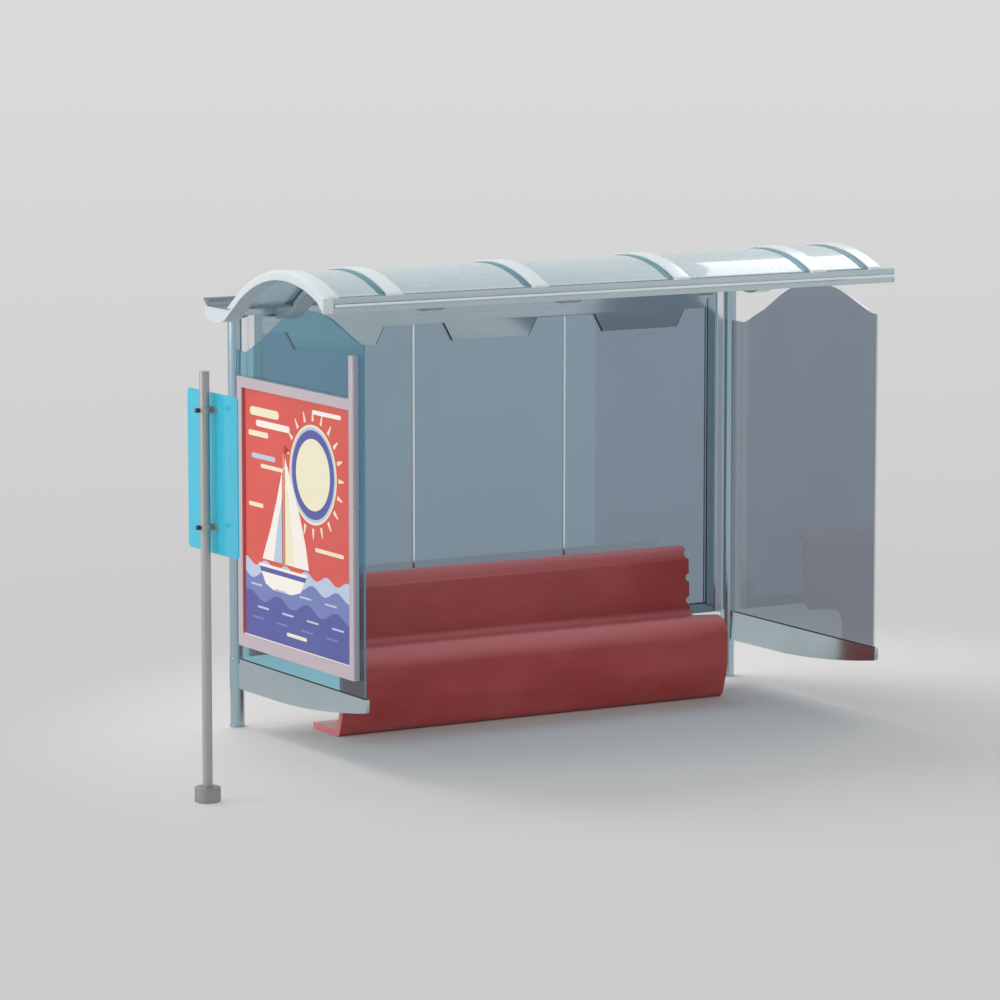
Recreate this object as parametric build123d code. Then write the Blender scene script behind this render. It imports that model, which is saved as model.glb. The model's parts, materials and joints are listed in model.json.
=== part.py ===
from build123d import *
import math
import os

# Street bus shelter: two round posts and a rear beam carry S-curved roof ribs with clear
# sheets between them; a framed rear wall, two bell-topped side screens, a poster case, a
# moulded bench and the stop's sign stand with it. All sizes are in millimetres.
# X runs along the shelter, Y from front (negative) to rear, Z up. The two posts stand on
# Y = 0 at X = -POST_X and +POST_X; everything is shifted at the end, so that the origin
# lies on the ground in the middle of the footprint.

# Posts and the rear beam they carry
POST_X = 1800
POST_RADIUS = 44.45
SLEEVE_RADIUS = 47.5
SLEEVE_BOTTOM = 236
SLEEVE_TOP = 430
FOOT_RING_RADIUS = 49
FOOT_RING_HEIGHT = 12
HEAD_RADIUS = 70
HEAD_THICKNESS = 12
BEAM_BOTTOM = 2555
BEAM_TOP = 2618
BEAM_FRONT = -62
BEAM_REAR = 46

# Roof ribs: an arch, a straight flank and a trough, all tangent to each other
RIB_XS = (-1927, -1494, -502, 502, 1494, 1927)
RIB_WIDTH = 110
ARCH_Y = -990
ARCH_Z = 1788
ARCH_OUTER = 1123
ARCH_INNER = 1065
RIB_EDGE = 6
END_RIB_EDGE = 30
FLANK_ANGLE = 35
TROUGH_RADIUS = 230
TROUGH_BOTTOM = 2528
TAIL_RADIUS = 457
TAIL_REAR = 42
SEAT_TOP = 2618

# Roof sheets lie a little below the rib tops
SHEET_DROP = 12
SHEET_THICKNESS = 6

# Front fascia
FASCIA_LEFT = -1910
FASCIA_RIGHT = 2046
FASCIA_FRONT = -1503
FASCIA_REAR = -1425
FASCIA_TOP = 2786
FASCIA_BOTTOM = 2698
FASCIA_CAP = 6

# Rear gutter on top of the beam and the rib tails
GUTTER_X = 1984
GUTTER_FRONT = -290
GUTTER_SHEET = 6

# Rear wall
FRAME_X = 1682
FRAME_BOTTOM = 436
FRAME_BAR = 60
FRAME_FRONT = -25
FRAME_REAR = 25
PANE_FRONT = 0
PANE_REAR = 8
PANE_BITE = 15
JOINT_X = 550.5
JOINT_WIDTH = 14
HEADER_BOTTOM = 2434
TAB_XS = (-1104, 0, 1104)
TAB_TOP_WIDTH = 678
TAB_BOTTOM_WIDTH = 558
TAB_DROP = 112
UPRIGHT_WIDTH = 46

# Side screens
SCREEN_X = 1807.5
SCREEN_THICKNESS = 12
SCREEN_REAR = -52
SCREEN_FRONT = -1675
RAIL_THICKNESS = 27
RAIL_TOP = 433
RAIL_REAR = -77
RAIL_FRONT = -1714

# Poster case on the left screen
CASE_DEPTH = 41
CASE_REAR = -128
CASE_FRONT = -1620
CASE_BOTTOM = 535
CASE_TOP = 2200
CASE_STILE_TOP = 2457

# Bench
BENCH_LEFT = -1430
BENCH_RIGHT = 1350
BENCH_SHELL = 40

# Stop sign
SIGN_X = -3000
SIGN_Y = -1989
SIGN_RADIUS = 28.5
SIGN_TOP = 2462
BOARD_X = -2948
BOARD_THICKNESS = 8


def block(x0, x1, y0, y1, z0, z1):
    """A rectangular block between two corners."""
    centre = Pos((x0 + x1) / 2, (y0 + y1) / 2, (z0 + z1) / 2)
    return centre * Box(x1 - x0, y1 - y0, z1 - z0)


def upright_tube(x, y, z0, z1, radius):
    """A round bar standing on end."""
    return Pos(x, y, z0) * Cylinder(radius, z1 - z0, align=(Align.CENTER, Align.CENTER, Align.MIN))


def along_x(face, x0, x1):
    """Push a section drawn in the Y-Z plane from x0 to x1."""
    return extrude(Plane.YZ.offset(x0) * face, amount=x1 - x0)


def rounded_path(points, radii):
    """Lines through the points, with an arc of the given radius at each inner corner."""
    edges = []
    start = Vector(*points[0])
    for i in range(1, len(points) - 1):
        corner = Vector(*points[i])
        back = (Vector(*points[i - 1]) - corner).normalized()
        ahead = (Vector(*points[i + 1]) - corner).normalized()
        half = math.acos(max(-1.0, min(1.0, back.dot(ahead)))) / 2
        reach = radii[i - 1] / math.tan(half)
        first = corner + back * reach
        last = corner + ahead * reach
        middle = corner + (back + ahead).normalized() * (radii[i - 1] / math.sin(half) - radii[i - 1])
        edges.append(Line(start, first))
        edges.append(ThreePointArc(first, middle, last))
        start = last
    edges.append(Line(start, Vector(*points[-1])))
    return edges


def shifted_path(points, distance):
    """The same bent line moved to its right-hand side by a distance."""
    moved = []
    normals = []
    for a, b in zip(points[:-1], points[1:]):
        run = (Vector(*b) - Vector(*a)).normalized()
        normals.append(Vector(run.Y, -run.X))
    moved.append(Vector(*points[0]) + normals[0] * distance)
    for i in range(1, len(points) - 1):
        both = (normals[i - 1] + normals[i]).normalized()
        moved.append(Vector(*points[i]) + both * (distance / both.dot(normals[i])))
    moved.append(Vector(*points[-1]) + normals[-1] * distance)
    return [(p.X, p.Y) for p in moved]


def bent_sheet(points, radii, turns, thickness):
    """A section of even thickness along a bent line; turns holds +1 for a right-hand bend."""
    inner = shifted_path(points, thickness)
    inner_radii = [r - t * thickness for r, t in zip(radii, turns)]
    edges = rounded_path(points, radii)
    edges.append(Line(points[-1], inner[-1]))
    edges += rounded_path(inner[::-1], inner_radii[::-1])
    edges.append(Line(inner[0], points[0]))
    return make_face(edges)


def arch_point(radius, angle):
    """A point on the roof arch; the angle is measured from the crest towards the rear."""
    a = math.radians(angle)
    return (ARCH_Y + radius * math.sin(a), ARCH_Z + radius * math.cos(a))


def arch_height(radius, y):
    """Height of the roof arch above a depth."""
    return ARCH_Z + math.sqrt(radius ** 2 - (y - ARCH_Y) ** 2)


def rib_section():
    """Outline of a roof rib: arch, flank, trough and tail, notched over the fascia."""
    a = math.radians(FLANK_ANGLE)
    outer_flank = arch_point(ARCH_OUTER, FLANK_ANGLE)
    inner_flank = arch_point(ARCH_INNER, FLANK_ANGLE)
    outer_foot_y = outer_flank[0] + (outer_flank[1] - SEAT_TOP) / math.tan(a)
    trough_z = TROUGH_BOTTOM + TROUGH_RADIUS * (1 - math.cos(a))
    trough_y = inner_flank[0] + (inner_flank[1] - trough_z) / math.tan(a)
    bottom_y = trough_y + TROUGH_RADIUS * math.sin(a)
    trough_mid = (bottom_y - TROUGH_RADIUS * math.sin(a / 2),
                  TROUGH_BOTTOM + TROUGH_RADIUS * (1 - math.cos(a / 2)))
    tail_run = TAIL_REAR - bottom_y
    tail_z = TROUGH_BOTTOM + TAIL_RADIUS - math.sqrt(TAIL_RADIUS ** 2 - tail_run ** 2)
    tail_half_z = TROUGH_BOTTOM + TAIL_RADIUS - math.sqrt(TAIL_RADIUS ** 2 - (tail_run / 2) ** 2)
    nose_top = (FASCIA_FRONT, arch_height(ARCH_OUTER, FASCIA_FRONT))
    nose_under = (FASCIA_REAR, arch_height(ARCH_INNER, FASCIA_REAR))
    edges = [
        Line((TAIL_REAR - 16, SEAT_TOP), (outer_foot_y, SEAT_TOP)),
        Line((outer_foot_y, SEAT_TOP), outer_flank),
        ThreePointArc(outer_flank, (ARCH_Y, ARCH_Z + ARCH_OUTER), nose_top),
        Line(nose_top, (FASCIA_FRONT, FASCIA_TOP)),
        Line((FASCIA_FRONT, FASCIA_TOP), (FASCIA_REAR, FASCIA_TOP)),
        Line((FASCIA_REAR, FASCIA_TOP), nose_under),
        ThreePointArc(nose_under, (ARCH_Y, ARCH_Z + ARCH_INNER), inner_flank),
        Line(inner_flank, (trough_y, trough_z)),
        ThreePointArc((trough_y, trough_z), trough_mid, (bottom_y, TROUGH_BOTTOM)),
        ThreePointArc((bottom_y, TROUGH_BOTTOM), (bottom_y + tail_run / 2, tail_half_z),
                      (TAIL_REAR, tail_z)),
        Line((TAIL_REAR, tail_z), (TAIL_REAR, SEAT_TOP - 16)),
        ThreePointArc((TAIL_REAR, SEAT_TOP - 16), (TAIL_REAR - 4.7, SEAT_TOP - 4.7),
                      (TAIL_REAR - 16, SEAT_TOP)),
    ]
    return make_face(edges)


def softened(rib, x, radius):
    """Round the long edge that runs over the rib's crest at one of its side faces."""
    crest = [e for e in rib.edges().filter_by(GeomType.CIRCLE)
             if abs(e.radius - ARCH_OUTER) < 1 and abs(e.center().X - x) < 1]
    return fillet(crest, radius)


def rib_chin():
    """Front end of the first rib, which reaches down beside the end of the fascia."""
    return make_face(Polyline(
        (FASCIA_FRONT, FASCIA_TOP + 1),
        (FASCIA_REAR, FASCIA_TOP + 1),
        (FASCIA_REAR, arch_height(ARCH_INNER, FASCIA_REAR)),
        (FASCIA_FRONT + 12, FASCIA_BOTTOM + 6),
        (FASCIA_FRONT, FASCIA_BOTTOM),
        close=True))


def roof_rib(index):
    """One rib; the four inner ones are cut back where they meet the rear beam."""
    x = RIB_XS[index]
    left = x - RIB_WIDTH / 2
    right = x + RIB_WIDTH / 2
    rib = along_x(rib_section(), left, right)
    if index == 0:
        rib += along_x(rib_chin(), left, FASCIA_LEFT - FASCIA_CAP)
    rib = softened(rib, left, END_RIB_EDGE if index == 0 else RIB_EDGE)
    rib = softened(rib, right, END_RIB_EDGE if index == 5 else RIB_EDGE)
    if index in (1, 2, 3, 4):
        rib -= block(x - RIB_WIDTH, x + RIB_WIDTH, BEAM_FRONT, 200, 2400, BEAM_TOP)
    return rib


def roof_sheet(index):
    """The clear sheet between one rib and the next."""
    x0 = RIB_XS[index] + RIB_WIDTH / 2
    x1 = RIB_XS[index + 1] - RIB_WIDTH / 2
    outer = ARCH_OUTER - SHEET_DROP
    inner = outer - SHEET_THICKNESS
    a = math.radians(FLANK_ANGLE)
    top_a = arch_point(outer, FLANK_ANGLE)
    low_a = arch_point(inner, FLANK_ANGLE)
    run = (low_a[1] - SEAT_TOP - GUTTER_SHEET - 1) / math.sin(a)
    top_b = (top_a[0] + run * math.cos(a), top_a[1] - run * math.sin(a))
    low_b = (low_a[0] + run * math.cos(a), low_a[1] - run * math.sin(a))
    front_y = ARCH_Y - math.sqrt(inner ** 2 - (FASCIA_TOP - ARCH_Z) ** 2)
    section = make_face([
        ThreePointArc((front_y, arch_height(outer, front_y)), (ARCH_Y, ARCH_Z + outer), top_a),
        Line(top_a, top_b),
        Line(top_b, low_b),
        Line(low_b, low_a),
        ThreePointArc(low_a, (ARCH_Y, ARCH_Z + inner), (front_y, arch_height(inner, front_y))),
        Line((front_y, arch_height(inner, front_y)), (front_y, arch_height(outer, front_y))),
    ])
    return along_x(section, x0, x1)


def fascia_outline():
    """Outside line of the fascia: upright front, flat top, rear lower corner cut off."""
    return [
        (FASCIA_FRONT, FASCIA_BOTTOM),
        (FASCIA_FRONT, FASCIA_TOP),
        (FASCIA_REAR, FASCIA_TOP),
        (FASCIA_REAR, FASCIA_BOTTOM + 28),
        (FASCIA_FRONT + 14, FASCIA_BOTTOM),
    ]


def front_fascia():
    """Long extrusion with a shadow groove and a round bead along its face."""
    section = make_face(Polyline(*fascia_outline(), close=True))
    groove_z = FASCIA_BOTTOM + 53
    section -= Pos(FASCIA_FRONT + 3, groove_z) * Rectangle(10, 5)
    section -= Pos(FASCIA_FRONT, FASCIA_BOTTOM + 12) * Rectangle(6, 24)
    section += Pos(FASCIA_FRONT, groove_z - 11.5) * Circle(8)
    return along_x(section, FASCIA_LEFT, FASCIA_RIGHT)


def fascia_cap(x0, x1):
    """Flat plate that closes an end of the fascia."""
    return along_x(make_face(Polyline(*fascia_outline(), close=True)), x0, x1)


def rear_gutter(ribs):
    """Bent sheet with a front lip, a level floor and an outward-leaning wall, cut round the ribs."""
    points = [
        (GUTTER_FRONT - 5, BEAM_TOP + 14),
        (GUTTER_FRONT, BEAM_TOP),
        (2, BEAM_TOP),
        (54, BEAM_TOP + 44),
    ]
    channel = along_x(bent_sheet(points[::-1], [8, 8], [1, 1], GUTTER_SHEET), -GUTTER_X, GUTTER_X)
    plate = make_face(Polyline((-14, BEAM_TOP + 2), (4, BEAM_TOP + 3), (50, BEAM_TOP + 42),
                               (-14, BEAM_TOP + 42), close=True))
    channel += along_x(plate, -GUTTER_X, -GUTTER_X + 6)
    channel += along_x(plate, GUTTER_X - 6, GUTTER_X)
    for rib in ribs:
        channel -= rib
    return channel


def frame_bar(x0, x1, z0, z1, groove):
    """One bar of the rear frame with a groove that takes the glass."""
    return block(x0, x1, FRAME_FRONT, FRAME_REAR, z0, z1) - groove


def header_panel():
    """Level band under the top bar, with a tapered tab hanging in front of each pane."""
    inner = FRAME_X - FRAME_BAR
    top = BEAM_BOTTOM - FRAME_BAR
    panel = Pos(0, (top + HEADER_BOTTOM) / 2) * Rectangle(2 * inner, top - HEADER_BOTTOM)
    for x in TAB_XS:
        tab = [
            (x - TAB_TOP_WIDTH / 2, HEADER_BOTTOM + 1),
            (x - TAB_TOP_WIDTH / 2, HEADER_BOTTOM),
            (x - TAB_BOTTOM_WIDTH / 2, HEADER_BOTTOM - TAB_DROP),
            (x + TAB_BOTTOM_WIDTH / 2, HEADER_BOTTOM - TAB_DROP),
            (x + TAB_TOP_WIDTH / 2, HEADER_BOTTOM),
            (x + TAB_TOP_WIDTH / 2, HEADER_BOTTOM + 1),
        ]
        panel += make_face(Polyline(*tab, close=True))
    return extrude(Plane.XZ.offset(3) * panel, amount=9)


def rear_pane(x0, x1):
    """One sheet of rear glass, reaching into the frame's grooves."""
    bottom = FRAME_BOTTOM + FRAME_BAR - PANE_BITE
    top = BEAM_BOTTOM - FRAME_BAR + PANE_BITE
    return block(x0, x1, PANE_FRONT, PANE_REAR, bottom, top)


def joint_strip(x):
    """H-shaped strip that covers the joint between two panes on both faces."""
    bottom = FRAME_BOTTOM + FRAME_BAR
    top = BEAM_BOTTOM - FRAME_BAR
    half = JOINT_WIDTH / 2
    strip = block(x - half, x + half, PANE_FRONT - 3, PANE_FRONT, bottom, top)
    strip += block(x - half, x + half, PANE_REAR, PANE_REAR + 3, bottom, top)
    strip += block(x - 3, x + 3, PANE_FRONT - 1, PANE_REAR + 1, bottom, top)
    return strip


def screen_outline():
    """Side glass outline in the Y-Z plane: a bell-shaped top over a plain rectangle."""
    bottom = RAIL_TOP - 28
    crest = [
        (SCREEN_REAR, 2346),
        (-110, 2343),
        (-170, 2344),
        (-274, 2386),
        (-410, 2448),
        (-549, 2528),
        (-660, 2585),
        (-811, 2639),
        (-960, 2662),
        (-1110, 2662),
        (-1302, 2632),
        (-1452, 2582),
        (-1560, 2546),
        (-1630, 2527),
        (SCREEN_FRONT, 2525),
    ]
    return make_face([
        Spline(*crest),
        Line((SCREEN_FRONT, 2525), (SCREEN_FRONT, bottom)),
        Line((SCREEN_FRONT, bottom), (SCREEN_REAR, bottom)),
        Line((SCREEN_REAR, bottom), (SCREEN_REAR, 2346)),
    ])


def side_screen(side):
    """Glass at one end of the shelter; side is -1 for the left and +1 for the right."""
    x = side * SCREEN_X
    return along_x(screen_outline(), x - SCREEN_THICKNESS / 2, x + SCREEN_THICKNESS / 2)


def side_rail(side):
    """Tapered rail under the side glass, curved below and rounded at its front end."""
    x = side * SCREEN_X
    face = make_face([
        Line((RAIL_REAR, RAIL_TOP), (RAIL_FRONT + 10, RAIL_TOP)),
        ThreePointArc((RAIL_FRONT + 10, RAIL_TOP), (RAIL_FRONT, 392), (RAIL_FRONT + 22, 352)),
        ThreePointArc((RAIL_FRONT + 22, 352), (-1220, 288), (-690, 250)),
        Line((-690, 250), (RAIL_REAR, 246)),
        Line((RAIL_REAR, 246), (RAIL_REAR, RAIL_TOP)),
    ])
    rail = along_x(face, x - RAIL_THICKNESS / 2, x + RAIL_THICKNESS / 2)
    round_nose = RAIL_THICKNESS / 2
    plan = upright_tube(x, RAIL_FRONT + round_nose, 200, RAIL_TOP + 10, round_nose)
    plan += block(x - round_nose, x + round_nose, RAIL_FRONT + round_nose, RAIL_REAR, 200, RAIL_TOP + 10)
    rail = rail & plan
    slot = block(x - SCREEN_THICKNESS / 2, x + SCREEN_THICKNESS / 2,
                 SCREEN_FRONT, RAIL_REAR + 1, RAIL_TOP - 28, RAIL_TOP + 1)
    return rail - slot


def post(side):
    """Round post with a low ring at its foot and a round head plate under the beam."""
    x = side * POST_X
    column = upright_tube(x, 0, 0, BEAM_BOTTOM, POST_RADIUS)
    column += upright_tube(x, 0, 0, FOOT_RING_HEIGHT, FOOT_RING_RADIUS)
    column += upright_tube(x, 0, BEAM_BOTTOM - HEAD_THICKNESS, BEAM_BOTTOM, HEAD_RADIUS)
    return column


def post_sleeve(side):
    """Sleeve round the post, with a neck that carries the rear end of the side rail."""
    x = side * POST_X
    sleeve = upright_tube(x, 0, SLEEVE_BOTTOM, SLEEVE_TOP, SLEEVE_RADIUS)
    neck_x = side * SCREEN_X
    sleeve += block(neck_x - 11, neck_x + 11, RAIL_REAR, 0, 252, 404)
    return sleeve - upright_tube(x, 0, SLEEVE_BOTTOM - 1, SLEEVE_TOP + 1, POST_RADIUS)


def poster_case():
    """Stiles, rails, back and sheet of the poster case on the left side glass."""
    x1 = -SCREEN_X - SCREEN_THICKNESS / 2
    x0 = x1 - CASE_DEPTH
    front_in = CASE_FRONT + 52
    rear_in = CASE_REAR - 62
    low = CASE_BOTTOM + 77
    high = CASE_TOP - 66
    pieces = {
        "case_stile_front": block(x0, x1, CASE_FRONT, front_in, CASE_BOTTOM, CASE_STILE_TOP),
        "case_stile_rear": block(x0, x1, rear_in, CASE_REAR, CASE_BOTTOM, CASE_TOP),
        "case_rail_bottom": block(x0, x1, front_in, rear_in, CASE_BOTTOM, low),
        "case_rail_top": block(x0, x1, front_in, rear_in, high, CASE_TOP),
        "case_back": block(x0 + 18, x0 + 24, front_in, rear_in, low, high),
        "poster_sheet": block(x0 + 14, x0 + 18, front_in, rear_in, low, high),
    }
    return pieces


def bench():
    """One moulded shell: floor flange, bowed front, rolled seat edge, seat and rolled back."""
    line = [
        (-302, 0),
        (-640, 0),
        (-700, 200),
        (-705, 545),
        (-251, 473),
        (-226, 915),
        (-120, 915),
    ]
    section = bent_sheet(line, [55, 300, 120, 45, 95], [1, 1, 1, -1, 1], BENCH_SHELL)
    shell = along_x(section, BENCH_LEFT, BENCH_RIGHT)
    for x in (BENCH_LEFT, BENCH_RIGHT):
        for z in (570, 718, 866):
            shell -= Pos(x, -200, z) * Rot(90, 0, 0) * Cylinder(26, 300)
    return shell


def sign_foot():
    """Eight-sided collar that the sign pole stands in."""
    collar = extrude(Pos(SIGN_X, SIGN_Y) * Rot(0, 0, 22.5) * RegularPolygon(74.5, 8), amount=88)
    return collar - upright_tube(SIGN_X, SIGN_Y, 6, 100, SIGN_RADIUS)


def sign_board():
    """Clear board with rounded corners, upright beside the pole."""
    plate = RectangleRounded(620, 916, 28)
    x0 = BOARD_X - BOARD_THICKNESS / 2
    return along_x(Pos(SIGN_Y, 1888) * plate, x0, x0 + BOARD_THICKNESS)


def sign_clamp(z):
    """Ring round the pole with a stem and a pad that holds the board."""
    x1 = BOARD_X - BOARD_THICKNESS / 2
    clamp = upright_tube(SIGN_X, SIGN_Y, z - 18, z + 18, SIGN_RADIUS + 7)
    clamp += block(SIGN_X, x1, SIGN_Y - 16, SIGN_Y + 16, z - 14, z + 14)
    clamp += block(x1 - 8, x1, SIGN_Y - 62, SIGN_Y + 62, z - 16, z + 16)
    return clamp - upright_tube(SIGN_X, SIGN_Y, z - 40, z + 40, SIGN_RADIUS)


def build_parts():
    """Every piece of the shelter by name, in the working position."""
    parts = {}
    for side, word in ((-1, "left"), (1, "right")):
        x = side * POST_X
        parts["post_" + word] = post(side)
        parts["post_sleeve_" + word] = post_sleeve(side)
        parts["side_rail_" + word] = side_rail(side)
        parts["side_glass_" + word] = side_screen(side)
        inner = side * FRAME_X
        outer = side * (FRAME_X + UPRIGHT_WIDTH)
        parts["upright_" + word] = block(min(inner, outer), max(inner, outer), -40, 35,
                                         FRAME_BOTTOM, BEAM_BOTTOM)

    beam_end = RIB_XS[5] - RIB_WIDTH / 2
    parts["rear_beam"] = block(-beam_end, beam_end, BEAM_FRONT, BEAM_REAR, BEAM_BOTTOM, BEAM_TOP)
    for i in range(6):
        parts["roof_rib_%d" % (i + 1)] = roof_rib(i)
    for i in range(5):
        parts["roof_sheet_%d" % (i + 1)] = roof_sheet(i)
    parts["front_fascia"] = front_fascia()
    parts["fascia_cap_left"] = fascia_cap(FASCIA_LEFT - FASCIA_CAP, FASCIA_LEFT)
    parts["fascia_cap_right"] = fascia_cap(FASCIA_RIGHT, FASCIA_RIGHT + FASCIA_CAP)
    parts["rear_gutter"] = rear_gutter([parts["roof_rib_%d" % (i + 1)] for i in range(6)])

    inner_x = FRAME_X - FRAME_BAR
    low = FRAME_BOTTOM + FRAME_BAR
    high = BEAM_BOTTOM - FRAME_BAR
    groove = block(-inner_x - PANE_BITE, inner_x + PANE_BITE, PANE_FRONT, PANE_REAR,
                   low - PANE_BITE, high + PANE_BITE)
    parts["frame_left"] = frame_bar(-FRAME_X, -inner_x, FRAME_BOTTOM, BEAM_BOTTOM, groove)
    parts["frame_right"] = frame_bar(inner_x, FRAME_X, FRAME_BOTTOM, BEAM_BOTTOM, groove)
    parts["frame_bottom"] = frame_bar(-inner_x, inner_x, FRAME_BOTTOM, low, groove)
    parts["frame_top"] = frame_bar(-inner_x, inner_x, high, BEAM_BOTTOM, groove)
    edge = inner_x + PANE_BITE
    parts["rear_glass_left"] = rear_pane(-edge, -JOINT_X - 3)
    parts["rear_glass_middle"] = rear_pane(-JOINT_X + 3, JOINT_X - 3)
    parts["rear_glass_right"] = rear_pane(JOINT_X + 3, edge)
    parts["joint_strip_left"] = joint_strip(-JOINT_X)
    parts["joint_strip_right"] = joint_strip(JOINT_X)
    parts["header_panel"] = header_panel()

    parts.update(poster_case())
    parts["bench"] = bench()
    parts["sign_foot"] = sign_foot()
    parts["sign_pole"] = upright_tube(SIGN_X, SIGN_Y, 6, SIGN_TOP, SIGN_RADIUS)
    parts["sign_board"] = sign_board()
    parts["sign_clamp_lower"] = sign_clamp(1582)
    parts["sign_clamp_upper"] = sign_clamp(2249)
    return parts


def write_parts(parts):
    """Move the origin to the middle of the footprint and save each piece."""
    boxes = [solid.bounding_box() for solid in parts.values()]
    middle_x = (min(b.min.X for b in boxes) + max(b.max.X for b in boxes)) / 2
    middle_y = (min(b.min.Y for b in boxes) + max(b.max.Y for b in boxes)) / 2
    shift = Pos(-middle_x, -middle_y, 0)
    os.makedirs("parts", exist_ok=True)
    for name, solid in parts.items():
        placed = shift * solid
        placed.label = name
        export_step(placed, "parts/%s.step" % name)


write_parts(build_parts())
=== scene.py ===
# %% [markdown]
# # A street bus shelter, finished in Blender
#
# The shelter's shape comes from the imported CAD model: posts, roof ribs, sheets, glass, a poster
# case, a moulded bench and the stop's sign. This lesson gives that shape its looks. It sets up
# the camera and a small studio, builds shader groups and materials, and then makes the small
# pieces that the CAD leaves out: beads and gaskets round the glass, screws, bolts, clamps and the
# print in the poster case. The model comes first, because every other size is read from it.

# %% Load the frame
import json
import math

import bmesh
import bpy
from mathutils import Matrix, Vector


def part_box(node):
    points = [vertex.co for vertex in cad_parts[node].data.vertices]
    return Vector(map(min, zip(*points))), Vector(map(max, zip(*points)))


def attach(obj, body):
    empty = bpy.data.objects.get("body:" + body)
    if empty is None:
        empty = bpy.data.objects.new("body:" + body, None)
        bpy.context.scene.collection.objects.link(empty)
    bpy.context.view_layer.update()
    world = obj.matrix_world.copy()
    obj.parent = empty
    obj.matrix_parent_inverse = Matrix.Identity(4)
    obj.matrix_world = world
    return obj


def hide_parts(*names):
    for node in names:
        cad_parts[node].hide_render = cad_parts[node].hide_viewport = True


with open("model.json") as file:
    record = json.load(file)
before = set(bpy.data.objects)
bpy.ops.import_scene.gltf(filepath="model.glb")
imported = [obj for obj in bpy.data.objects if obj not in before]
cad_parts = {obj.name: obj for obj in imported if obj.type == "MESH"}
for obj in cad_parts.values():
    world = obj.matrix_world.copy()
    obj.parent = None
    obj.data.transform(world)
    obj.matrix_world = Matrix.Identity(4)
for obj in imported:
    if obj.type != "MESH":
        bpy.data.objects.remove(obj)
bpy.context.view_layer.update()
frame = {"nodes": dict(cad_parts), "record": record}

# %% [markdown]
# Drawings of a shelter are in millimetres and start between its two posts. Blender works in
# metres, from the middle of the footprint. One small function turns the first into the second,
# so that the numbers below read like the drawing: X along the shelter, Y from front to rear.

# %% Millimetres between the posts
post_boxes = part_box("post_left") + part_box("post_right")
post_middle = sum(post_boxes, Vector()) / 4


def at(x, y, z):
    """A place in millimetres, from the middle between the posts, as metres in the frame."""
    return Vector((post_middle.x + x / 1000, post_middle.y + y / 1000, z / 1000))


def tone(red, green, blue):
    """A screen colour from 0 to 255 as the linear colour that shaders and lamps take."""
    def linear(level):
        level /= 255
        return level / 12.92 if level <= 0.04045 else ((level + 0.055) / 1.055) ** 2.4
    return (linear(red), linear(green), linear(blue), 1.0)


print("posts meet the floor at", at(-1800, 0, 0)[:], at(1800, 0, 0)[:])

# %% [markdown]
# ## Camera
#
# The photograph looks at the shelter from far away, thirty degrees to the left of its open front
# and a little from above. The lens is long, so lines that run away from the camera hardly
# converge. Place, turn and lens were worked out from the photograph's own perspective, which is
# why they aren't round numbers. A camera pointed by hand would never line up as well.

# %% Make the camera
CAMERA_YAW = 30.078
CAMERA_PITCH = 7.924
LENS = 169.78

camera_data = bpy.data.cameras.new("shelter_camera")
camera_data.sensor_width = 36.0
camera_data.lens = LENS
camera_data.clip_end = 400.0
camera = bpy.data.objects.new("shelter_camera", camera_data)
camera.location = at(-14789.2, -25668.0, 5410.9)
camera.rotation_euler = (math.radians(90 - CAMERA_PITCH), 0.0, math.radians(-CAMERA_YAW))
bpy.context.scene.collection.objects.link(camera)
bpy.context.scene.camera = camera
bpy.context.scene.view_settings.view_transform = "Standard"
print("camera", [round(v, 2) for v in camera.location])

# %% [markdown]
# ## Studio
#
# The object stands on a plain pale floor that runs on into a pale distance. Near the shelter the
# floor is an ordinary matt surface, because it has to take the shelter's soft shadow. Far away
# it turns into a plain brightness that only the camera, mirrors and clear glass see, so that the
# background stays even and puts no extra light on the object. The change from one to the other
# is a smooth ring, worked out from the distance to the middle of the shadow. Beyond the ring the
# tone rises a little with each tenfold step of distance.

# %% Floor
FLOOR_TONE = (208, 208, 208)
NEAR_TONE = (203, 203, 203)
FAR_TONE = (218, 218, 218)
RING_CENTRE = (1.2, -0.65, 0.0)
RING_START, RING_END = 2.3, 4.8
GRADE_START, GRADE_END = 0.75, 1.94
FLOOR_REACH = 300.0


def new_material(name):
    """An empty node material and its tree."""
    material = bpy.data.materials.new(name)
    material.use_nodes = True
    tree = material.node_tree
    tree.nodes.clear()
    return material, tree


def add(tree, kind, **settings):
    """Add a node; settings are its properties, and numbered or named inputs come as 'in_' words."""
    node = tree.nodes.new(kind)
    for word, value in settings.items():
        if word.startswith("in_"):
            key = word[3:].replace("_", " ")
            key = int(key) if key.isdigit() else key
            node.inputs[key].default_value = value
        else:
            setattr(node, word, value)
    return node


def join(tree, *pairs):
    """Link pairs of sockets, each from an output to an input."""
    for source, target in pairs:
        tree.links.new(source, target)


def seen_directly(tree):
    """One for camera, mirror and clear-glass rays, nothing for the light that is scattered."""
    rays = add(tree, "ShaderNodeLightPath")
    first = add(tree, "ShaderNodeMath", operation="MAXIMUM")
    second = add(tree, "ShaderNodeMath", operation="MAXIMUM")
    join(tree,
         (rays.outputs["Is Camera Ray"], first.inputs[0]),
         (rays.outputs["Is Glossy Ray"], first.inputs[1]),
         (first.outputs[0], second.inputs[0]),
         (rays.outputs["Is Transmission Ray"], second.inputs[1]))
    return second.outputs[0]


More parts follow.
